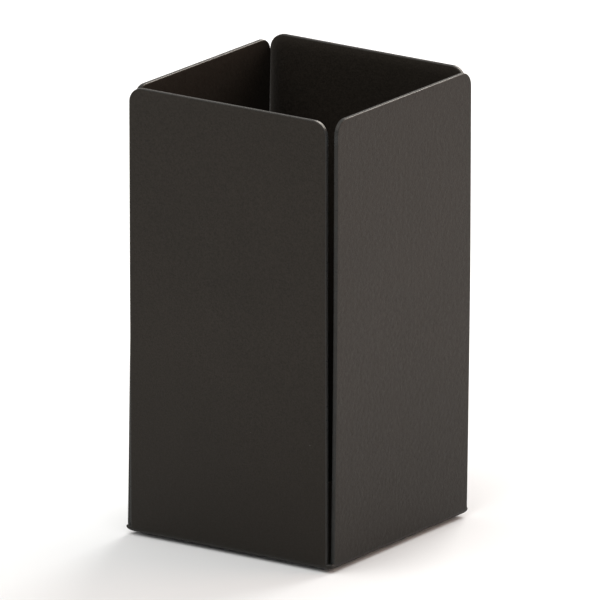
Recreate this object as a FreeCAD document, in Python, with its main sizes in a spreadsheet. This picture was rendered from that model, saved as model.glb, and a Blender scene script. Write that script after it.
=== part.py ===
"""Open-topped square napkin holder, folded from one cross-shaped sheet of steel.

Units are millimetres, +Z is up, and the origin is the middle of the footprint on
the surface that the holder stands on. The front wall faces -Y and the right wall
faces +X.
"""
import FreeCAD, Part
import math
import os
import Sketcher

OUTPUT_FOLDER = "parts"
VOLUME_TOLERANCE = 0.002

# alias, value, meaning
DIMENSIONS = [
    ("base_width", 80.0, "outside, left bend to right bend"),
    ("base_depth", 80.0, "outside, front bend to rear bend"),
    ("body_height", 148.0, "underside of the base to the rim"),
    ("sheet_thickness", 1.5, "steel and its powder coat"),
    ("bend_radius", 2.3, "outside radius of the four bends; also each wall's side inset"),
    ("rim_corner_radius", 5.0, "rounding of each wall's two top corners"),
    ("slit_end_angle", 5.0, "degrees of each bend that stay open above a closed base corner"),
    ("lean_front", 0.05, "degrees outwards from upright, left by the bend's springback"),
    ("lean_right", 0.40, "degrees outwards"),
    ("lean_rear", 0.34, "degrees outwards"),
    ("lean_left", -0.79, "degrees outwards, so this wall leans inwards"),
    ("foot_diameter", 10.0, "thin rubber pad foot"),
    ("foot_thickness", 0.8, "foot without its adhesive"),
    ("foot_edge_radius", 0.3, "rounding of the edge that meets the table"),
    ("foot_inset", 14.0, "from the outside of the base to a foot's centre"),
    ("adhesive_diameter", 9.2, "disc between a foot and the base"),
    ("adhesive_thickness", 0.2, "disc between a foot and the base"),
]

# name, sketch plane, side of that plane's horizontal axis, outside size across it
WALLS = [
    ("front", "YZ_Plane", -1, "base_depth"),
    ("rear", "YZ_Plane", 1, "base_depth"),
    ("left", "XZ_Plane", -1, "base_width"),
    ("right", "XZ_Plane", 1, "base_width"),
]

# name, side along X, side along Y, degrees that turn the +X +Y quadrant onto this corner
CORNERS = [
    ("front_left", -1, -1, 180),
    ("front_right", 1, -1, 270),
    ("rear_left", -1, 1, 90),
    ("rear_right", 1, 1, 0),
]


def fill_sheet(doc):
    """Put the driving dimensions in a spreadsheet, one alias to a row."""
    sheet = doc.addObject("Spreadsheet::Sheet", "dimensions")
    for row, (alias, value, meaning) in enumerate(DIMENSIONS, start=1):
        sheet.set(f"A{row}", alias)
        sheet.set(f"B{row}", str(value))
        sheet.set(f"C{row}", meaning)
        sheet.setAlias(f"B{row}", alias)
    doc.recompute()
    return sheet


def new_sketch(body, name, role):
    """A sketch on the body's own origin plane that has this role."""
    plane = next(f for f in body.Origin.OriginFeatures if f.Role == role)
    sketch = body.newObject("Sketcher::SketchObject", name)
    sketch.AttachmentSupport = [(plane, "")]
    sketch.MapMode = "FlatFace"
    return sketch


def constrain(sketch, name, expression, *constraint):
    """Add a named dimension to a sketch and bind it to the spreadsheet."""
    index = sketch.addConstraint(Sketcher.Constraint(*constraint))
    sketch.renameConstraint(index, name)
    sketch.setExpression(f"Constraints.{name}", expression)


def close_outline(sketch, lines):
    """Join each line's end to the next one's start, all the way round."""
    for current, following in zip(lines, lines[1:] + lines[:1]):
        sketch.addConstraint(Sketcher.Constraint("Coincident", current, 2, following, 1))


def require_solved(doc, sketch):
    """Stop if the sketch has a conflict or a freedom left."""
    doc.recompute()
    if sketch.solve() != 0 or not sketch.FullyConstrained:
        raise RuntimeError(f"sketch {sketch.Name} is not fully constrained")


def base_panel(doc, body, sheet):
    """The flat square between the four bend lines."""
    sketch = new_sketch(body, "base_outline", "XY_Plane")
    half_width = sheet.base_width / 2 - sheet.bend_radius
    half_depth = sheet.base_depth / 2 - sheet.bend_radius
    corners = [
        FreeCAD.Vector(-half_width, -half_depth, 0),
        FreeCAD.Vector(half_width, -half_depth, 0),
        FreeCAD.Vector(half_width, half_depth, 0),
        FreeCAD.Vector(-half_width, half_depth, 0),
    ]
    sides = [
        sketch.addGeometry(Part.LineSegment(start, end), False)
        for start, end in zip(corners, corners[1:] + corners[:1])
    ]
    close_outline(sketch, sides)
    front, right, rear, left = sides
    for side in (front, rear):
        sketch.addConstraint(Sketcher.Constraint("Horizontal", side))
    for side in (right, left):
        sketch.addConstraint(Sketcher.Constraint("Vertical", side))
    sketch.addConstraint(Sketcher.Constraint("Symmetric", front, 1, right, 2, -1, 1))
    constrain(sketch, "flat_width", "dimensions.base_width - 2 * dimensions.bend_radius",
              "DistanceX", front, 1, front, 2, 2 * half_width)
    constrain(sketch, "flat_depth", "dimensions.base_depth - 2 * dimensions.bend_radius",
              "DistanceY", right, 1, right, 2, 2 * half_depth)
    require_solved(doc, sketch)
    pad = body.newObject("PartDesign::Pad", "base_panel")
    pad.Profile = sketch
    pad.setExpression("Length", "dimensions.sheet_thickness")
    doc.recompute()


def wall_profile(doc, body, sheet, name, role, side, across):
    """One bend and the wall above it, in section: an arc pair that runs into a leaning strip."""
    sketch = new_sketch(body, f"{name}_profile", role)
    lean = math.radians(getattr(sheet, f"lean_{name}"))
    bend_line = side * (getattr(sheet, across) / 2 - sheet.bend_radius)
    centre = FreeCAD.Vector(bend_line, sheet.bend_radius, 0)
    outward = FreeCAD.Vector(side * math.cos(lean), -math.sin(lean), 0)
    upward = FreeCAD.Vector(side * math.sin(lean), math.cos(lean), 0)
    inner_radius = sheet.bend_radius - sheet.sheet_thickness

    outer_foot = centre + outward * sheet.bend_radius
    inner_foot = centre + outward * inner_radius
    run = (sheet.body_height - outer_foot.y) / upward.y
    outer_top = outer_foot + upward * run
    inner_top = inner_foot + upward * run
    under = FreeCAD.Vector(bend_line, 0, 0)
    over = FreeCAD.Vector(bend_line, sheet.sheet_thickness, 0)

    def arc(radius):
        diagonal = (outward + FreeCAD.Vector(0, -1, 0)).normalize()
        lowest = centre + FreeCAD.Vector(0, -radius, 0)
        return Part.Arc(lowest, centre + diagonal * radius, centre + outward * radius)

    # An arc is stored anticlockwise, so on the negative side its first point is the wall's.
    base_point, wall_point = (1, 2) if side > 0 else (2, 1)
    outer_bend = sketch.addGeometry(arc(sheet.bend_radius), False)
    outer_face = sketch.addGeometry(Part.LineSegment(outer_foot, outer_top), False)
    rim = sketch.addGeometry(Part.LineSegment(outer_top, inner_top), False)
    inner_face = sketch.addGeometry(Part.LineSegment(inner_top, inner_foot), False)
    inner_bend = sketch.addGeometry(arc(inner_radius), False)
    seam = sketch.addGeometry(Part.LineSegment(over, under), False)

    for constraint in (
        ("Tangent", outer_bend, wall_point, outer_face, 1),
        ("Coincident", outer_face, 2, rim, 1),
        ("Coincident", rim, 2, inner_face, 1),
        ("Tangent", inner_face, 2, inner_bend, wall_point),
        ("Coincident", inner_bend, base_point, seam, 1),
        ("Coincident", seam, 2, outer_bend, base_point),
        ("Coincident", inner_bend, 3, outer_bend, 3),
        ("Vertical", seam),
        ("Vertical", seam, 2, outer_bend, 3),
        ("PointOnObject", seam, 2, -1),
        ("Parallel", inner_face, outer_face),
        ("Perpendicular", rim, outer_face),
    ):
        sketch.addConstraint(Sketcher.Constraint(*constraint))

    constrain(sketch, "thickness", "dimensions.sheet_thickness",
              "DistanceY", seam, 2, seam, 1, sheet.sheet_thickness)
    constrain(sketch, "outer_radius", "dimensions.bend_radius",
              "Radius", outer_bend, sheet.bend_radius)
    offset = f"dimensions.{across} / 2 - dimensions.bend_radius"
    near_axis, far_point = ((-1, 1), (seam, 2)) if side > 0 else ((seam, 2), (-1, 1))
    constrain(sketch, "bend_line", offset,
              "DistanceX", *near_axis, *far_point, abs(bend_line))
    constrain(sketch, "height", "dimensions.body_height",
              "DistanceY", -1, 1, outer_face, 2, sheet.body_height)
    turn = "-" if side > 0 else "+"
    constrain(sketch, "slope", f"(90 {turn} dimensions.lean_{name}) * 1 deg",
              "Angle", outer_face, math.pi / 2 - side * lean)
    require_solved(doc, sketch)
    return sketch


def wall(doc, body, sheet, name, role, side, across):
    """Extrude one wall's section along its bend, short of both corners by the side inset."""
    along = "base_width" if across == "base_depth" else "base_depth"
    pad = body.newObject("PartDesign::Pad", f"{name}_wall")
    pad.Profile = wall_profile(doc, body, sheet, name, role, side, across)
    pad.Midplane = True
    pad.setExpression("Length", f"dimensions.{along} - 2 * dimensions.bend_radius")
    doc.recompute()


def base_corner(doc, body, place, side_x, side_y, turn):
    """Close one corner of the base below its slit: an eighth of a hollow ball between two bends."""
    for kind, name, radius in (
        ("Additive", "outside", "dimensions.bend_radius"),
        ("Subtractive", "inside", "dimensions.bend_radius - dimensions.sheet_thickness"),
    ):
        ball = body.newObject(f"PartDesign::{kind}Sphere", f"{place}_corner_{name}")
        ball.Angle1 = -90
        ball.Angle3 = 90
        ball.setExpression("Angle2", "-1 deg * dimensions.slit_end_angle")
        ball.setExpression("Radius", radius)
        ball.Placement.Rotation = FreeCAD.Rotation(FreeCAD.Vector(0, 0, 1), turn)
        for axis, side, size in (("x", side_x, "base_width"), ("y", side_y, "base_depth")):
            ball.setExpression(f"Placement.Base.{axis}",
                               f"{side} * (dimensions.{size} / 2 - dimensions.bend_radius)")
        ball.setExpression("Placement.Base.z", "dimensions.bend_radius")
        doc.recompute()


def rim_corner_edges(shape, sheet):
    """Names of the eight short edges through the sheet at the walls' top corners."""
    names = []
    for index, edge in enumerate(shape.Edges, start=1):
        short = abs(edge.Length - sheet.sheet_thickness) < 0.01
        at_rim = all(point.Z > sheet.body_height - 1 for point in edge.Vertexes)
        if short and at_rim:
            names.append(f"Edge{index}")
    return names


def expected_body_volume(sheet):
    """Volume of the folded blank, from its neutral middle surface."""
    flat_width = sheet.base_width - 2 * sheet.bend_radius
    flat_depth = sheet.base_depth - 2 * sheet.bend_radius
    area = flat_width * flat_depth
    for name, _, _, across in WALLS:
        lean = math.radians(getattr(sheet, f"lean_{name}"))
        middle_radius = sheet.bend_radius - sheet.sheet_thickness / 2
        bend_length = (math.pi / 2 - lean) * middle_radius
        bend_top = sheet.bend_radius - sheet.bend_radius * math.sin(lean)
        wall_length = (sheet.body_height - bend_top) / math.cos(lean)
        along = flat_width if across == "base_depth" else flat_depth
        area += along * (bend_length + wall_length)
    area -= len(WALLS) * 2 * (1 - math.pi / 4) * sheet.rim_corner_radius ** 2
    inner_radius = sheet.bend_radius - sheet.sheet_thickness
    ball_eighth = math.pi / 6 * (sheet.bend_radius ** 3 - inner_radius ** 3)
    return area * sheet.sheet_thickness + len(CORNERS) * ball_eighth


def folded_body(doc, sheet):
    """The sheet-metal body: base panel, bends and walls, closed base corners, rounded rim."""
    body = doc.addObject("PartDesign::Body", "folded_body")
    body.Label = "folded_body"
    base_panel(doc, body, sheet)
    for row in WALLS:
        wall(doc, body, sheet, *row)
    for row in CORNERS:
        base_corner(doc, body, *row)
    unrounded = body.Tip
    corners = body.newObject("PartDesign::Fillet", "rim_corners")
    corners.Base = (unrounded, rim_corner_edges(unrounded.Shape, sheet))
    corners.setExpression("Radius", "dimensions.rim_corner_radius")
    body.setExpression("Placement.Base.z",
                       "dimensions.foot_thickness + dimensions.adhesive_thickness")
    doc.recompute()
    return body


def place_under_base(feature, side_x, side_y):
    """Bind a foot's or an adhesive disc's position to its corner of the base."""
    for axis, side, size in (("x", side_x, "base_width"), ("y", side_y, "base_depth")):
        feature.setExpression(f"Placement.Base.{axis}",
                              f"{side} * (dimensions.{size} / 2 - dimensions.foot_inset)")


def foot(doc, sheet, place, side_x, side_y):
    """A round rubber pad, turned from half its section."""
    body = doc.addObject("PartDesign::Body", f"foot_{place}")
    body.Label = f"foot_{place}"
    sketch = new_sketch(body, f"foot_{place}_section", "XZ_Plane")
    radius = sheet.foot_diameter / 2
    rounding = sheet.foot_edge_radius
    top = sheet.foot_thickness
    middle_low = FreeCAD.Vector(0, 0, 0)
    flat_end = FreeCAD.Vector(radius - rounding, 0, 0)
    arc_centre = FreeCAD.Vector(radius - rounding, rounding, 0)
    side_low = FreeCAD.Vector(radius, rounding, 0)
    side_top = FreeCAD.Vector(radius, top, 0)
    middle_top = FreeCAD.Vector(0, top, 0)
    halfway = arc_centre + FreeCAD.Vector(1, -1, 0).normalize() * rounding

    tread = sketch.addGeometry(Part.LineSegment(middle_low, flat_end), False)
    rounded_edge = sketch.addGeometry(Part.Arc(flat_end, halfway, side_low), False)
    flank = sketch.addGeometry(Part.LineSegment(side_low, side_top), False)
    top_face = sketch.addGeometry(Part.LineSegment(side_top, middle_top), False)
    axis = sketch.addGeometry(Part.LineSegment(middle_top, middle_low), False)
    for constraint in (
        ("Tangent", tread, 2, rounded_edge, 1),
        ("Tangent", rounded_edge, 2, flank, 1),
        ("Coincident", flank, 2, top_face, 1),
        ("Coincident", top_face, 2, axis, 1),
        ("Coincident", axis, 2, tread, 1),
        ("Coincident", tread, 1, -1, 1),
        ("Horizontal", tread),
        ("Horizontal", top_face),
        ("Vertical", flank),
        ("Vertical", axis),
    ):
        sketch.addConstraint(Sketcher.Constraint(*constraint))
    constrain(sketch, "rounding", "dimensions.foot_edge_radius",
              "Radius", rounded_edge, rounding)
    constrain(sketch, "outside_radius", "dimensions.foot_diameter / 2",
              "DistanceX", top_face, 2, top_face, 1, radius)
    constrain(sketch, "height", "dimensions.foot_thickness",
              "DistanceY", axis, 2, axis, 1, top)
    require_solved(doc, sketch)

    turned = body.newObject("PartDesign::Revolution", f"foot_{place}_turned")
    turned.Profile = sketch
    turned.ReferenceAxis = (sketch, ["V_Axis"])
    turned.Angle = 360
    place_under_base(body, side_x, side_y)
    doc.recompute()
    return body


def adhesive(doc, place, side_x, side_y):
    """The disc of double-sided adhesive that fastens one foot to the base."""
    disc = doc.addObject("Part::Cylinder", f"adhesive_{place}")
    disc.Label = f"adhesive_{place}"
    disc.setExpression("Radius", "dimensions.adhesive_diameter / 2")
    disc.setExpression("Height", "dimensions.adhesive_thickness")
    disc.setExpression("Placement.Base.z", "dimensions.foot_thickness")
    place_under_base(disc, side_x, side_y)
    doc.recompute()
    return disc


def check(doc, pieces, sheet):
    """Stop on a failed feature, a bad solid or a body whose volume is wrong."""
    for item in doc.Objects:
        if {"Invalid", "Error"} & set(item.State):
            raise RuntimeError(f"{item.Name} is {item.State}")
    for piece in pieces:
        shape = piece.Shape
        if shape.isNull() or not shape.isValid() or len(shape.Solids) != 1:
            raise RuntimeError(f"{piece.Label} is not one valid solid")
        print(f"{piece.Label}: {shape.Volume:.1f} mm3, z {shape.BoundBox.ZMin:.2f}"
              f" to {shape.BoundBox.ZMax:.2f}")
    wanted = expected_body_volume(sheet)
    made = pieces[0].Shape.Volume
    if abs(made - wanted) > VOLUME_TOLERANCE * wanted:
        raise RuntimeError(f"the folded body holds {made:.0f} mm3, not {wanted:.0f}")


def main():
    doc = FreeCAD.newDocument("napkin_holder")
    sheet = fill_sheet(doc)
    pieces = [folded_body(doc, sheet)]
    for place, side_x, side_y, _ in CORNERS:
        pieces.append(foot(doc, sheet, place, side_x, side_y))
        pieces.append(adhesive(doc, place, side_x, side_y))
    doc.recompute()
    check(doc, pieces, sheet)
    os.makedirs(OUTPUT_FOLDER, exist_ok=True)
    for piece in pieces:
        piece.Shape.exportStep(os.path.join(OUTPUT_FOLDER, f"{piece.Label}.step"))


main()
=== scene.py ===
"""Looks of the folded steel napkin holder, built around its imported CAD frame.

Lengths below are in millimetres unless a name says otherwise; meshes are made in metres.
The front wall faces -Y and the right wall faces +X.
"""
import math

import bmesh
import bpy
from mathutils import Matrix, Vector, noise


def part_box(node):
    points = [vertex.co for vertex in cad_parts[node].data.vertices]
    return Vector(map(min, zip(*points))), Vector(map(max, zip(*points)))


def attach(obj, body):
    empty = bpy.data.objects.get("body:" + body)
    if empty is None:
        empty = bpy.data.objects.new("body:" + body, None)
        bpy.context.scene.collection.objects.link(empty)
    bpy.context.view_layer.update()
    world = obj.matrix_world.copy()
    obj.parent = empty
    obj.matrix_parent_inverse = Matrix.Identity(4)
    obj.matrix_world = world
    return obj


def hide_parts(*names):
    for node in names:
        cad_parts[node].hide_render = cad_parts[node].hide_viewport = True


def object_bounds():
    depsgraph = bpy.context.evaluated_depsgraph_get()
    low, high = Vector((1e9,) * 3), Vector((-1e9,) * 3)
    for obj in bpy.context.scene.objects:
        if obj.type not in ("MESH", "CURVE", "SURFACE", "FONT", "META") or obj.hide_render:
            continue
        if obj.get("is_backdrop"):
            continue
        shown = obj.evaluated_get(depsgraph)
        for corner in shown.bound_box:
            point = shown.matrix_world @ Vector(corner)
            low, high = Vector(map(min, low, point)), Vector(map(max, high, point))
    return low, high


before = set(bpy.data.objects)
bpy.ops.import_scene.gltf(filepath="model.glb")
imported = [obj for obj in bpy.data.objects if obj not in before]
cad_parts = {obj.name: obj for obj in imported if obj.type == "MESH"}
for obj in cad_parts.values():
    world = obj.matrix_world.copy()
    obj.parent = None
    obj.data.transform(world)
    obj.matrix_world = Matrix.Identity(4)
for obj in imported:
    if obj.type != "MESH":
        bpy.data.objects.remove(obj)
CAD_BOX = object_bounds()

MM = 0.001

# ---------------------------------------------------------------- sheet-metal body
BASE_SIZE = 80.0
SHEET = 1.5
BEND_RADIUS = 2.3
RIM_CORNER_RADIUS = 5.0
SLIT_END_ANGLE = math.radians(85)
EDGE_ROUNDING = 0.34

# Each wall with the quarter turn that takes +X to its outward direction, and its lean outwards.
WALLS = [
    ("right", 0, math.radians(0.40)),
    ("rear", 1, math.radians(0.34)),
    ("left", 2, math.radians(-0.79)),
    ("front", 3, math.radians(0.05)),
]
# How far each wall bellies outwards between its bend and its rim.
BELLY = {"right": 0.28, "rear": 0.04, "left": 0.0, "front": 0.08}
# How far a wall's two side edges, (-along, +along), run out at the bend and at the rim, and
# the width of the strip along the edge that goes with it.
FLARE_LOW = {
    "right": (0.40, 0.52),
    "rear": (0.05, 0.75),
    "left": (0.15, 0.85),
    "front": (0.10, 0.40),
}
FLARE_HIGH = {
    "right": (0.65, 0.45),
    "rear": (-0.50, 0.28),
    "left": (0.16, 0.0),
    "front": (0.37, 0.12),
}
FLARE_WIDTH = 20.0
# How much higher each rim stands, and how much more than that at its +along end.
RIM_RISE = {
    "right": (0.25, 0.0),
    "rear": (0.30, 0.30),
    "left": (-0.30, 0.0),
    "front": (0.05, -0.20),
}
# How far each rim turns outwards at the very top, and the height over which it does.
RIM_TURN_OUT = {"right": 0.0, "rear": 0.45, "left": 0.10, "front": 0.0}
TURN_OUT_DEPTH = 4.2
# How far the ear that folding pinches stands proud (tucked in if negative) at the base corner
# after each wall's +along end.
EAR = {"right": -0.45, "rear": 0.15, "left": 0.30, "front": 0.1}
# Slow unevenness of the walls: its depth, the height over which it sets in above a bend, its
# waves per millimetre across and up, and how far apart the walls lie in the noise.
WAVE_DEPTH = 0.22
WAVE_START = 45.0
WAVES_ACROSS = 0.018
WAVES_UP = 0.014
WAVE_WALL_STEP = (7.3, 3.1)
# Wear of the cut edge, which also paints a lighter highlight line along it: full at the rim, where
# hands rub it, less down the slits.
SIDE_WEAR_AND_HIGHLIGHT = 0.75
WEAR_AND_HIGHLIGHT_DEPTH = 9.0

# ---------------------------------------------------------------- the body's grid
BEND_STEPS = 7
EDGE_STEPS = 4
RIM_CORNER_STEPS = 6
ACROSS_STEPS = 16
BASE_CORNER_STEPS = 12
LOWEST_ROW = 0.8
ROW_GROWTH = 1.35
LARGEST_ROW = 4.5
# Vertices closer than this are one; they meet so at the lower ends of the slits.
SAME_PLACE = 0.001
FLAT_FACE_WEIGHT = 90

# ---------------------------------------------------------------- feet
FOOT_RADIUS = 5.0
FOOT_EDGE_RADIUS = 0.3
FOOT_EDGE_STEPS = 6
FOOT_TOP_EDGE = 0.15
ADHESIVE_RADIUS = 4.6
ADHESIVE_EDGE = 0.04
TURNED_STEPS = 72
# Rings of the flat faces, as shares of their radius.
TREAD_RINGS = (0.2, 0.45, 0.7, 0.9)
TOP_RING = 0.6

# ---------------------------------------------------------------- powder coat
# Colours are linear; noise scales and cells are per metre.
COAT_DARK = (0.0162, 0.0144, 0.0122)
COAT_LIGHT = (0.0200, 0.0172, 0.0146)
MOTTLE_SCALE = 28.0
# Painted shade: the coat is painted darker below this height in metres, towards the base.
COAT_PAINTED_BASE_SHADE = (0.0098, 0.0088, 0.0076)
PAINTED_SHADE_BELOW = 0.062
COAT_PIT = (0.0060, 0.0054, 0.0047)
PIT_SCALE = 1900.0
# Lighter colour of the cut edge: worn coat, and partly a painted highlight line.
COAT_RUBBED_AND_HIGHLIT = (0.033, 0.038, 0.041)
RUB_SCALE = 240.0
RUBBED_GLOSS = 0.33
DUST = (0.34, 0.33, 0.31)
DUST_CELLS = 90.0
DUST_RADIUS = (0.008, 0.014)
DUST_FREE_SHARE = (0.80, 0.82)
SHEEN_SCALE = 900.0
COAT_ROUGHNESS = (0.40, 0.54)
COAT_SPECULAR = 0.21
COAT_SPECULAR_TINT = (1.0, 0.92, 0.82, 1.0)
# Noise scale, strength and depth in metres of each bump.
ORANGE_PEEL = (620.0, 0.28, 0.0003)
GRAIN = (2400.0, 0.65, 0.0001)

# ---------------------------------------------------------------- camera, lengths in metres
CAMERA_AZIMUTH = math.radians(34.24)
CAMERA_ELEVATION = math.radians(15.89)
CAMERA_ROLL = math.radians(0.087)
CAMERA_DISTANCE = 5.015
CAMERA_CLIP_END = 100.0
LENS_MM = 939.0
SENSOR_WIDTH_MM = 36.0
AIM_RIGHT = 0.00055
AIM_UP = 0.00025

# ---------------------------------------------------------------- studio, lengths in metres
FLOOR_HALF_SIZE = 6.0
FLOOR_SQUARES = 16
WORLD_STRENGTH = 0.55
LIGHT_COLOUR = (1.0, 0.94, 0.875)
SIDE_LIGHT_COLOUR = (1.0, 0.60, 0.42)
# name, azimuth (0 is -Y, 90 is +X) and elevation in degrees, distance, width, height, watts,
# colour
LIGHTS = [
    ("overhead", -15, 62, 1.6, 1.6, 1.6, 18.5, LIGHT_COLOUR),
    ("rear", 180, 34, 1.7, 1.35, 0.8, 29.5, LIGHT_COLOUR),
    ("side", 125, 22, 1.8, 1.2, 1.0, 9.0, SIDE_LIGHT_COLOUR),
]


# ================================================================ small helpers
def lerp(low, high, share):
    return low + (high - low) * share


def smoothstep(low, high, value):
    share = min(1.0, max(0.0, (value - low) / (high - low)))
    return share * share * (3 - 2 * share)


def new_object(name, mesh, materials):
    for material in materials:
        mesh.materials.append(material)
    obj = bpy.data.objects.new(name, mesh)
    bpy.context.scene.collection.objects.link(obj)
    return obj


# ================================================================ material helpers
def new_material(name):
    """A new material, its node tree and the Principled shader in it."""
    material = bpy.data.materials.new(name)
    material.use_nodes = True
    return material, material.node_tree, material.node_tree.nodes["Principled BSDF"]


def add_noise(tree, vector, scale, detail=4.0, roughness=0.5):
    node = tree.nodes.new("ShaderNodeTexNoise")
    node.inputs["Scale"].default_value = scale
    node.inputs["Detail"].default_value = detail
    node.inputs["Roughness"].default_value = roughness
    tree.links.new(vector, node.inputs["Vector"])
    return node.outputs["Fac"]


def add_range(tree, value, from_low, from_high, to_low, to_high):
    node = tree.nodes.new("ShaderNodeMapRange")
    node.inputs["From Min"].default_value = from_low
    node.inputs["From Max"].default_value = from_high
    node.inputs["To Min"].default_value = to_low
    node.inputs["To Max"].default_value = to_high
    tree.links.new(value, node.inputs["Value"])
    return node.outputs["Result"]


def add_math(tree, operation, first, second):
    node = tree.nodes.new("ShaderNodeMath")
    node.operation = operation
    for socket, value in zip(node.inputs, (first, second)):
        if isinstance(value, float):
            socket.default_value = value
        else:
            tree.links.new(value, socket)
    return node.outputs["Value"]


def add_mix(tree, factor, first, second):
    """Mix of two colours, each a socket or an RGB triple."""
    node = tree.nodes.new("ShaderNodeMix")
    node.data_type = "RGBA"
    tree.links.new(factor, node.inputs["Factor"])
    for socket, value in ((node.inputs["A"], first), (node.inputs["B"], second)):
        if isinstance(value, tuple):
            socket.default_value = (*value, 1.0)
        else:
            tree.links.new(value, socket)
    return node.outputs["Result"]


def add_bump(tree, shader, layers):
    """Chain bumps, each (height socket, strength, depth in metres), into the shader."""
    previous = None
    for height, strength, distance in layers:
        bump = tree.nodes.new("ShaderNodeBump")
        bump.inputs["Strength"].default_value = strength
        bump.inputs["Distance"].default_value = distance
        tree.links.new(height, bump.inputs["Height"])
        if previous is not None:
            tree.links.new(previous, bump.inputs["Normal"])
        previous = bump.outputs["Normal"]
    tree.links.new(previous, shader.inputs["Normal"])


# ================================================================ materials
def powder_coat():
    """Warm black satin coat: orange peel, fine grain, faint mottling, painted shade towards the
    base, worn edges partly painted as highlight lines, dust.
    """
    material, tree, shader = new_material("powder_coat")
    place = tree.nodes.new("ShaderNodeTexCoord").outputs["Object"]
    edge = tree.nodes.new("ShaderNodeAttribute")
    edge.attribute_name = "edge"

    mottle = add_noise(tree, place, MOTTLE_SCALE, detail=5.0, roughness=0.6)
    colour = add_mix(tree, add_range(tree, mottle, 0.3, 0.7, 0.0, 1.0), COAT_DARK, COAT_LIGHT)
    height = tree.nodes.new("ShaderNodeSeparateXYZ")
    tree.links.new(place, height.inputs["Vector"])
    # Painted shade: the coat darkens towards the base.
    painted_base_shade = add_range(tree, height.outputs["Z"], 0.0, PAINTED_SHADE_BELOW, 1.0, 0.0)
    colour = add_mix(tree, painted_base_shade, colour, COAT_PAINTED_BASE_SHADE)

    pits = add_noise(tree, place, PIT_SCALE, detail=3.0, roughness=0.7)
    colour = add_mix(tree, add_range(tree, pits, 0.40, 0.70, 0.0, 0.85), colour, COAT_PIT)

    # Worn cut edge, partly a painted highlight: a lighter, cooler colour on the edge mask.
    rub_patches = add_noise(tree, place, RUB_SCALE, detail=6.0, roughness=0.7)
    rubbed_and_highlit = add_math(tree, "MULTIPLY", edge.outputs["Fac"],
                      add_range(tree, rub_patches, 0.30, 0.75, 0.45, 0.85))
    colour = add_mix(tree, rubbed_and_highlit, colour, COAT_RUBBED_AND_HIGHLIT)

    speck_cells = tree.nodes.new("ShaderNodeTexVoronoi")
    speck_cells.inputs["Scale"].default_value = DUST_CELLS
    tree.links.new(place, speck_cells.inputs["Vector"])
    speck_near = add_range(tree, speck_cells.outputs["Distance"], *DUST_RADIUS, 1.0, 0.0)
    speck_pick = tree.nodes.new("ShaderNodeSeparateColor")
    tree.links.new(speck_cells.outputs["Color"], speck_pick.inputs["Color"])
    speck_kept = add_range(tree, speck_pick.outputs["Red"], *DUST_FREE_SHARE, 0.0, 0.8)
    speck = add_math(tree, "MULTIPLY", speck_near, speck_kept)
    colour = add_mix(tree, speck, colour, DUST)
    tree.links.new(colour, shader.inputs["Base Color"])

    sheen_patches = add_noise(tree, place, SHEEN_SCALE, detail=6.0, roughness=0.7)
    gloss = add_range(tree, sheen_patches, 0.3, 0.7, *COAT_ROUGHNESS)
    polish = add_math(tree, "MULTIPLY", rubbed_and_highlit, RUBBED_GLOSS)
    tree.links.new(add_math(tree, "SUBTRACT", gloss, polish), shader.inputs["Roughness"])
    shader.inputs["Specular IOR Level"].default_value = COAT_SPECULAR
    shader.inputs["Specular Tint"].default_value = COAT_SPECULAR_TINT

    peel_scale, *peel = ORANGE_PEEL
    grain_scale, *grain = GRAIN
    add_bump(tree, shader, [
        (add_noise(tree, place, peel_scale, detail=2.0), *peel),
        (add_noise(tree, place, grain_scale, detail=3.0, roughness=0.6), *grain),
    ])
    return material


def pad_rubber():
    """Matt black rubber with a bloom of dust."""
    material, tree, shader = new_material("pad_rubber")
    place = tree.nodes.new("ShaderNodeTexCoord").outputs["Object"]
    bloom = add_noise(tree, place, 420.0, detail=6.0, roughness=0.65)
    colour = add_mix(tree, add_range(tree, bloom, 0.35, 0.8, 0.0, 1.0),
                     (0.018, 0.018, 0.019), (0.055, 0.053, 0.050))
    tree.links.new(colour, shader.inputs["Base Color"])
    tree.links.new(add_range(tree, bloom, 0.3, 0.7, 0.62, 0.80), shader.inputs["Roughness"])
    shader.inputs["Specular IOR Level"].default_value = 0.4
    add_bump(tree, shader, [(add_noise(tree, place, 3200.0, detail=4.0), 0.25, 0.0001)])
    return material


def adhesive_film():
    """Milky acrylic adhesive, with the bubbles that it traps."""
    material, tree, shader = new_material("adhesive_film")
    place = tree.nodes.new("ShaderNodeTexCoord").outputs["Object"]
    bubbles = add_noise(tree, place, 1500.0, detail=3.0)
    colour = add_mix(tree, add_range(tree, bubbles, 0.4, 0.7, 0.0, 1.0),
                     (0.60, 0.58, 0.52), (0.70, 0.68, 0.63))
    tree.links.new(colour, shader.inputs["Base Color"])
    tree.links.new(add_range(tree, bubbles, 0.3, 0.7, 0.30, 0.45), shader.inputs["Roughness"])
    add_bump(tree, shader, [(bubbles, 0.2, 0.0001)])
    return material


def pale_floor():
    """Plain matt white studio floor."""
    material, tree, shader = new_material("studio_floor")
    place = tree.nodes.new("ShaderNodeTexCoord").outputs["Object"]
    grain = add_noise(tree, place, 3.0, detail=2.0)
    colour = add_mix(tree, grain, (0.79, 0.84, 0.895), (0.81, 0.86, 0.915))
    tree.links.new(colour, shader.inputs["Base Color"])
    shader.inputs["Roughness"].default_value = 0.7
    shader.inputs["Specular IOR Level"].default_value = 0.2
    return material


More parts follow.
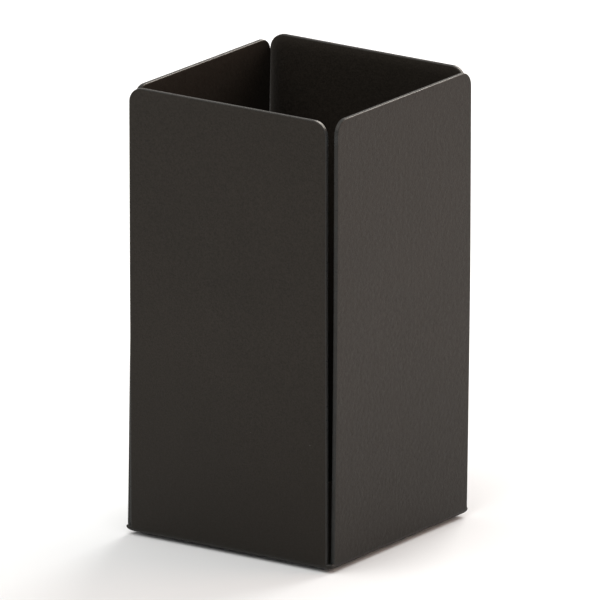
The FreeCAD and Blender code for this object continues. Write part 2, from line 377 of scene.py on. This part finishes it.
# ================================================================ folded sheet
class FoldedSheet:
    """Skins and rounded cut edge of the folded blank.

    A point of the blank has a patch, two surface lengths and a height over the sheet's middle
    surface, positive towards the inside of the holder. The patches are the base, the four
    flaps (across, up from the bend line) and the four base corners (turn, up from the pole).
    """

    def __init__(self, level, height):
        self.level = level
        self.height = height
        self.half = BASE_SIZE / 2 - BEND_RADIUS
        self.side = self.half - EDGE_ROUNDING
        self.middle_radius = BEND_RADIUS - SHEET / 2
        self.slit_row = self.middle_radius * SLIT_END_ANGLE - EDGE_ROUNDING
        self.bm = bmesh.new()
        self.edge_layer = self.bm.verts.layers.float.new("edge")
        self.made = {}
        self.columns = self.column_places()

    # ---- the blank's grid
    def column_places(self):
        """Places across a flap: its two sides, the stretches under the rim corners, the middle."""
        corner = RIM_CORNER_RADIUS - EDGE_ROUNDING
        middle = self.side - corner
        stretch = [middle + corner * self.corner_share(i) for i in range(1, RIM_CORNER_STEPS + 1)]
        inner = [lerp(-middle, middle, i / ACROSS_STEPS) for i in range(ACROSS_STEPS + 1)]
        outer = stretch + [self.half]
        return [-place for place in reversed(outer)] + inner + outer

    @staticmethod
    def corner_share(step):
        """Grid line of a rim corner, spaced so that the corner's arc has equal steps."""
        return math.sqrt(2) * math.sin(math.pi / 4 * step / RIM_CORNER_STEPS)

    def row_places(self, lean):
        """Places up a flap from its bend line, and how many of them lie under the rim corners."""
        bend_end = self.middle_radius * (math.pi / 2 - lean)
        below_slit = [self.slit_row * i / BEND_STEPS for i in range(BEND_STEPS + 1)]
        corner_start = self.flap_length(lean) - RIM_CORNER_RADIUS
        rows = below_slit + [bend_end]
        step = LOWEST_ROW
        while rows[-1] + step < corner_start - LARGEST_ROW:
            rows.append(rows[-1] + step)
            step = min(step * ROW_GROWTH, LARGEST_ROW)
        left_over = corner_start - rows[-1]
        parts = max(1, round(left_over / LARGEST_ROW))
        highest = rows[-1]
        rows += [highest + left_over * (i + 1) / parts for i in range(parts)]
        plain = len(rows)
        corner = RIM_CORNER_RADIUS - EDGE_ROUNDING
        rows += [corner_start + corner * self.corner_share(i)
                 for i in range(1, RIM_CORNER_STEPS + 1)]
        return rows, plain

    def flap_length(self, lean):
        """From the bend line to the rim, on the middle surface."""
        turn = math.pi / 2 - lean
        upright = self.height - BEND_RADIUS + BEND_RADIUS * math.cos(turn)
        return self.middle_radius * turn + upright / math.sin(turn)

    def round_rim(self, across, up, lean):
        """Move a grid point of a flap's upper corners onto a quarter disc."""
        corner = RIM_CORNER_RADIUS - EDGE_ROUNDING
        middle = self.side - corner
        start = self.flap_length(lean) - RIM_CORNER_RADIUS
        u = max(0.0, (abs(across) - middle) / corner)
        v = max(0.0, (up - start) / corner)
        if u == 0.0 or v == 0.0:
            return across, up
        sign = math.copysign(1.0, across)
        return (sign * (middle + corner * u * math.sqrt(1 - v * v / 2)),
                start + corner * v * math.sqrt(1 - u * u / 2))

    # ---- from the blank to the folded shape
    @staticmethod
    def turned(outward, along, quarter):
        """Plan coordinates of a flap-frame point after its wall's quarter turns."""
        for _ in range(quarter):
            outward, along = -along, outward
        return outward, along

    def flap_point(self, wall, across, up, height):
        name, quarter, lean = wall
        turn = math.pi / 2 - lean
        angle = min(up / self.middle_radius, turn)
        beyond = max(0.0, up - self.middle_radius * turn)
        radius = self.middle_radius - height
        outward = self.half + radius * math.sin(angle) + beyond * math.cos(turn)
        z = BEND_RADIUS - radius * math.cos(angle) + beyond * math.sin(turn)
        risen = beyond / (self.height - BEND_RADIUS)
        outward += BELLY[name] * 4 * risen * (1 - risen) + self.waviness(quarter, across, beyond)
        below_rim = self.flap_length(lean) - up
        outward += RIM_TURN_OUT[name] * max(0.0, 1 - below_rim / TURN_OUT_DEPTH) ** 2
        rise, tilt = RIM_RISE[name]
        z += (rise + tilt * across / self.half) * risen
        along = across + self.side_flare(name, across, up, risen)
        x, y = self.turned(outward, along, quarter)
        return Vector((x, y, z + self.level))

    def side_flare(self, name, across, up, risen):
        """How far a point near a side edge runs out towards its corner."""
        end = across > 0
        reach = lerp(FLARE_LOW[name][end], FLARE_HIGH[name][end], risen)
        near_edge = smoothstep(self.half - FLARE_WIDTH, self.half, abs(across))
        begun = smoothstep(0.0, self.slit_row, up)
        return math.copysign(1.0, across) * reach * near_edge * begun

    def waviness(self, quarter, across, beyond):
        """Slow unevenness of a wall, none at its bend."""
        seat = smoothstep(0.0, WAVE_START, beyond)
        step_across, step_deep = WAVE_WALL_STEP
        place = Vector((across * WAVES_ACROSS + step_across * quarter, beyond * WAVES_UP,
                        step_deep * quarter))
        return WAVE_DEPTH * seat * noise.noise(place)

    def corner_point(self, quarter, turn, up, height):
        """Point of a closed base corner, with the ear that folding pinches there.

        Its two sides follow the running-out edges of the two flaps that it joins.
        """
        wall, following = WALLS[quarter][0], WALLS[(quarter + 1) % 4][0]
        begun = smoothstep(0.0, self.slit_row, up)
        share = turn / (math.pi / 2)
        angle = up / self.middle_radius
        radius = self.middle_radius - height
        middle = 1 - abs(turn - math.pi / 4) / (math.pi / 4)
        ear = EAR[wall] * middle ** 2 * math.sin(min(angle, math.pi / 2)) ** 3
        reach = radius * math.sin(angle) + ear
        outward = (self.half + reach * math.cos(turn)
                   + FLARE_LOW[following][False] * begun * share)
        along = (self.half + reach * math.sin(turn)
                 + FLARE_LOW[wall][True] * begun * (1 - share))
        x, y = self.turned(outward, along, quarter)
        return Vector((x, y, BEND_RADIUS - radius * math.cos(angle) + self.level))

    # ---- vertices, each made once
    def vertex(self, key, point, edge=0.0):
        if key not in self.made:
            vert = self.bm.verts.new(point * MM)
            vert[self.edge_layer] = edge
            self.made[key] = vert
        return self.made[key]

    def base_vertex(self, i, j, height):
        point = Vector((self.columns[i], self.columns[j], self.level + SHEET / 2 + height))
        return self.vertex(("base", i, j, height), point)

    def bend_line_vertex(self, quarter, i, height):
        """The base's vertex on a flap's bend line, counted in the flap's own direction."""
        last = len(self.columns) - 1
        column, row = [(last, i), (last - i, last), (0, last - i), (i, 0)][quarter]
        return self.base_vertex(column, row, height)

    def flap_vertex(self, wall, rows, i, j, height):
        if j == 0:
            return self.bend_line_vertex(wall[1], i, height)
        across, up = self.round_rim(self.columns[i], rows[j], wall[2])
        return self.vertex(("flap", wall[1], i, j, height),
                           self.flap_point(wall, across, up, height))

    def corner_vertex(self, quarter, k, j, height):
        """Vertex of the base corner after this wall; its two sides belong to the flaps."""
        wall, following = WALLS[quarter], WALLS[(quarter + 1) % 4]
        last = len(self.columns) - 1
        if j == 0:
            return self.bend_line_vertex(quarter, last, height)
        rows, _ = self.row_places(wall[2])
        if k == 0:
            return self.flap_vertex(wall, rows, last, j, height)
        if k == BASE_CORNER_STEPS:
            return self.flap_vertex(following, rows, 0, j, height)
        turn = math.pi / 2 * k / BASE_CORNER_STEPS
        return self.vertex(("corner", quarter, k, j, height),
                           self.corner_point(quarter, turn, rows[j], height))

    # ---- faces
    def quad(self, *verts):
        unique = list(dict.fromkeys(verts))
        self.bm.faces.new(unique)

    def skins(self):
        """Inside and outside skins of the base, the flaps and the base corners."""
        last = len(self.columns) - 1
        for height in (SHEET / 2, -SHEET / 2):
            for i in range(last):
                for j in range(last):
                    self.quad(*(self.base_vertex(a, b, height) for a, b in
                                ((i, j), (i + 1, j), (i + 1, j + 1), (i, j + 1))))
            for wall in WALLS:
                rows, _ = self.row_places(wall[2])
                for j in range(len(rows) - 1):
                    inset = 0 if j < BEND_STEPS else 1
                    for i in range(inset, last - inset):
                        self.quad(*(self.flap_vertex(wall, rows, a, b, height) for a, b in
                                    ((i, j), (i + 1, j), (i + 1, j + 1), (i, j + 1))))
            for quarter in range(4):
                for k in range(BASE_CORNER_STEPS):
                    for j in range(BEND_STEPS):
                        self.quad(*(self.corner_vertex(quarter, a, b, height) for a, b in
                                    ((k, j), (k + 1, j), (k + 1, j + 1), (k, j + 1))))

    def edge_path(self):
        """The blank's whole cut edge as (key, skin vertex maker, point maker) in order."""
        path = []
        last = len(self.columns) - 1
        for wall in WALLS:
            rows, plain = self.row_places(wall[2])
            top = len(rows) - 1
            stops = [(0, BEND_STEPS, 0, 1), (1, BEND_STEPS, -1, 1)]
            stops += [(1, j, -1, 0) for j in range(BEND_STEPS + 1, plain)]
            for n in range(1, RIM_CORNER_STEPS + 1):
                turn = math.pi / 4 * n / RIM_CORNER_STEPS
                stops.append((1, plain - 1 + n, -math.cos(turn), math.sin(turn)))
            for n in range(RIM_CORNER_STEPS - 1, 0, -1):
                turn = math.pi / 2 - math.pi / 4 * n / RIM_CORNER_STEPS
                column = 1 + RIM_CORNER_STEPS - n
                stops.append((column, top, -math.cos(turn), math.sin(turn)))
            first_middle = 1 + RIM_CORNER_STEPS
            stops += [(i, top, 0, 1) for i in range(first_middle, last - first_middle + 1)]
            mirrored = [(last - i, j, -a, b) for i, j, a, b in reversed(stops) if i < first_middle]
            for i, j, out_across, out_up in stops + mirrored:
                path.append(self.flap_stop(wall, rows, i, j, out_across, out_up))
            for k in range(1, BASE_CORNER_STEPS):
                path.append(self.corner_stop(wall[1], k, rows))
        return path

    def flap_stop(self, wall, rows, i, j, out_across, out_up):
        across, up = self.round_rim(self.columns[i], rows[j], wall[2])

        def point(offset, height):
            return self.flap_point(wall, across + offset * out_across,
                                   up + offset * out_up, height)

        def skin(height):
            return self.flap_vertex(wall, rows, i, j, height)

        return skin, point

    def corner_stop(self, quarter, k, rows):
        turn = math.pi / 2 * k / BASE_CORNER_STEPS

        def point(offset, height):
            return self.corner_point(quarter, turn, rows[BEND_STEPS] + offset, height)

        def skin(height):
            return self.corner_vertex(quarter, k, BEND_STEPS, height)

        return skin, point

    def cut_edge(self):
        """The coated edge: a quarter round off each skin with a flat between them."""
        half = SHEET / 2
        profile = []
        for step in range(1, EDGE_STEPS + 1):
            angle = math.pi / 2 * step / EDGE_STEPS
            profile.append((EDGE_ROUNDING * math.sin(angle),
                            half - EDGE_ROUNDING * (1 - math.cos(angle))))
        profile += [(offset, -height) for offset, height in reversed(profile)]
        loops = []
        for number, (skin, point) in enumerate(self.edge_path()):
            loop = [skin(half)]
            for step, (offset, height) in enumerate(profile):
                place = point(offset, height)
                # Edge mask for worn coat and painted highlight: full at the rim, less down the
                # slits.
                depth = self.level + self.height - place.z
                wear_and_highlight = lerp(1.0, SIDE_WEAR_AND_HIGHLIGHT, smoothstep(RIM_CORNER_RADIUS, WEAR_AND_HIGHLIGHT_DEPTH, depth))
                loop.append(self.vertex(("edge", number, step), place, wear_and_highlight))
            loop.append(skin(-half))
            loops.append(loop)
        for first, second in zip(loops, loops[1:] + loops[:1]):
            for k in range(len(first) - 1):
                self.quad(first[k], second[k], second[k + 1], first[k + 1])

    def mesh(self):
        self.skins()
        self.cut_edge()
        bmesh.ops.remove_doubles(self.bm, verts=self.bm.verts, dist=SAME_PLACE * MM)
        bmesh.ops.recalc_face_normals(self.bm, faces=self.bm.faces)
        for face in self.bm.faces:
            face.smooth = True
        mesh = bpy.data.meshes.new("folded_body_sheet")
        self.bm.to_mesh(mesh)
        self.bm.free()
        return mesh


def folded_body(coat):
    low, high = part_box("folded_body")
    sheet = FoldedSheet(low.z / MM, (high.z - low.z) / MM)
    body = new_object("folded_body_sheet", sheet.mesh(), [coat])
    weighted = body.modifiers.new("flat_faces", "WEIGHTED_NORMAL")
    weighted.weight = FLAT_FACE_WEIGHT
    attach(body, "root")
    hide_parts("folded_body")


# ================================================================ feet
def turned_mesh(name, profile, centre):
    """Closed solid turned about a vertical axis from (radius, height) points, first to last."""
    bm = bmesh.new()
    rings = []
    for radius, height in profile:
        if radius == 0.0:
            rings.append([bm.verts.new((centre.x, centre.y, height))])
            continue
        ring = []
        for k in range(TURNED_STEPS):
            angle = math.tau * k / TURNED_STEPS
            ring.append(bm.verts.new((centre.x + radius * math.cos(angle),
                                      centre.y + radius * math.sin(angle), height)))
        rings.append(ring)
    for low, high in zip(rings, rings[1:]):
        for k in range(TURNED_STEPS):
            following = (k + 1) % TURNED_STEPS
            corners = [low[k % len(low)], low[following % len(low)],
                       high[following % len(high)], high[k % len(high)]]
            bm.faces.new(list(dict.fromkeys(corners)))
    bmesh.ops.recalc_face_normals(bm, faces=bm.faces)
    for face in bm.faces:
        face.smooth = True
    mesh = bpy.data.meshes.new(name)
    bm.to_mesh(mesh)
    bm.free()
    return mesh


def foot(place, rubber):
    node = f"foot_{place}"
    low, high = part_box(node)
    radius = FOOT_RADIUS * MM
    rounding = FOOT_EDGE_RADIUS * MM
    top_edge = FOOT_TOP_EDGE * MM
    profile = [(0.0, low.z)]
    profile += [((radius - rounding) * share, low.z) for share in TREAD_RINGS]
    for step in range(FOOT_EDGE_STEPS + 1):
        angle = math.pi / 2 * step / FOOT_EDGE_STEPS
        profile.append((radius - rounding + rounding * math.sin(angle),
                        low.z + rounding * (1 - math.cos(angle))))
    profile += [(radius, high.z - top_edge), (radius - top_edge / 3, high.z - top_edge / 3),
                (radius - top_edge, high.z), (radius * TOP_RING, high.z), (0.0, high.z)]
    pad = new_object(f"{node}_pad", turned_mesh(node, profile, (low + high) / 2), [rubber])
    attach(pad, "root")
    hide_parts(node)


def adhesive(place, film):
    node = f"adhesive_{place}"
    low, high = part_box(node)
    radius = ADHESIVE_RADIUS * MM
    edge = ADHESIVE_EDGE * MM
    profile = [(0.0, low.z), (radius * TOP_RING, low.z), (radius - edge, low.z),
               (radius, lerp(low.z, high.z, 0.3)), (radius, lerp(low.z, high.z, 0.7)),
               (radius - edge, high.z), (radius * TOP_RING, high.z), (0.0, high.z)]
    disc = new_object(f"{node}_disc", turned_mesh(node, profile, (low + high) / 2), [film])
    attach(disc, "root")
    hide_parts(node)


# ================================================================ studio
def view_axes():
    """Unit vectors from the object to the camera, to the camera's right and up."""
    back = Vector((math.sin(CAMERA_AZIMUTH) * math.cos(CAMERA_ELEVATION),
                   -math.cos(CAMERA_AZIMUTH) * math.cos(CAMERA_ELEVATION),
                   math.sin(CAMERA_ELEVATION)))
    right = Vector((math.cos(CAMERA_AZIMUTH), math.sin(CAMERA_AZIMUTH), 0.0))
    return back, right, back.cross(right)


def camera():
    back, right, up = view_axes()
    low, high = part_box("folded_body")
    middle = Vector((0.0, 0.0, (low.z + high.z) / 2))
    data = bpy.data.cameras.new("camera")
    data.lens = LENS_MM
    data.sensor_width = SENSOR_WIDTH_MM
    data.clip_end = CAMERA_CLIP_END
    obj = bpy.data.objects.new("camera", data)
    obj.location = middle + right * AIM_RIGHT + up * AIM_UP + back * CAMERA_DISTANCE
    turn = back.to_track_quat("Z", "Y").to_matrix().to_4x4()
    obj.rotation_euler = turn.to_euler()
    obj.rotation_euler.rotate_axis("Z", CAMERA_ROLL)
    bpy.context.scene.collection.objects.link(obj)
    bpy.context.scene.camera = obj


def softbox(target, name, azimuth, elevation, distance, width, height, power, colour):
    """A rectangular light that faces the target."""
    a, e = math.radians(azimuth), math.radians(elevation)
    away = Vector((math.sin(a) * math.cos(e), -math.cos(a) * math.cos(e), math.sin(e)))
    data = bpy.data.lights.new(name, "AREA")
    data.shape = "RECTANGLE"
    data.size = width
    data.size_y = height
    data.energy = power
    data.color = colour
    obj = bpy.data.objects.new(name, data)
    obj.location = target + away * distance
    obj.rotation_euler = away.to_track_quat("Z", "Y").to_euler()
    bpy.context.scene.collection.objects.link(obj)


def studio():
    low, high = CAD_BOX
    middle = (low + high) / 2
    bm = bmesh.new()
    bmesh.ops.create_grid(bm, x_segments=FLOOR_SQUARES, y_segments=FLOOR_SQUARES,
                          size=FLOOR_HALF_SIZE)
    mesh = bpy.data.meshes.new("floor")
    bm.to_mesh(mesh)
    bm.free()
    floor = new_object("floor", mesh, [pale_floor()])
    floor.location.z = low.z
    floor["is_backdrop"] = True
    for row in LIGHTS:
        softbox(middle, *row)
    world = bpy.data.worlds.new("studio")
    world.use_nodes = True
    background = world.node_tree.nodes["Background"]
    background.inputs["Color"].default_value = (*LIGHT_COLOUR, 1.0)
    background.inputs["Strength"].default_value = WORLD_STRENGTH
    bpy.context.scene.world = world
    bpy.context.scene.view_settings.view_transform = "Standard"


# ================================================================ build
def write_sizes():
    boxes = {"cad": CAD_BOX, "visual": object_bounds()}
    {key: [list(low), list(high)] for key, (low, high) in boxes.items()}


camera()
studio()
folded_body(powder_coat())
RUBBER = pad_rubber()
FILM = adhesive_film()
for corner in ("front_left", "front_right", "rear_left", "rear_right"):
    foot(corner, RUBBER)
    adhesive(corner, FILM)
write_sizes()
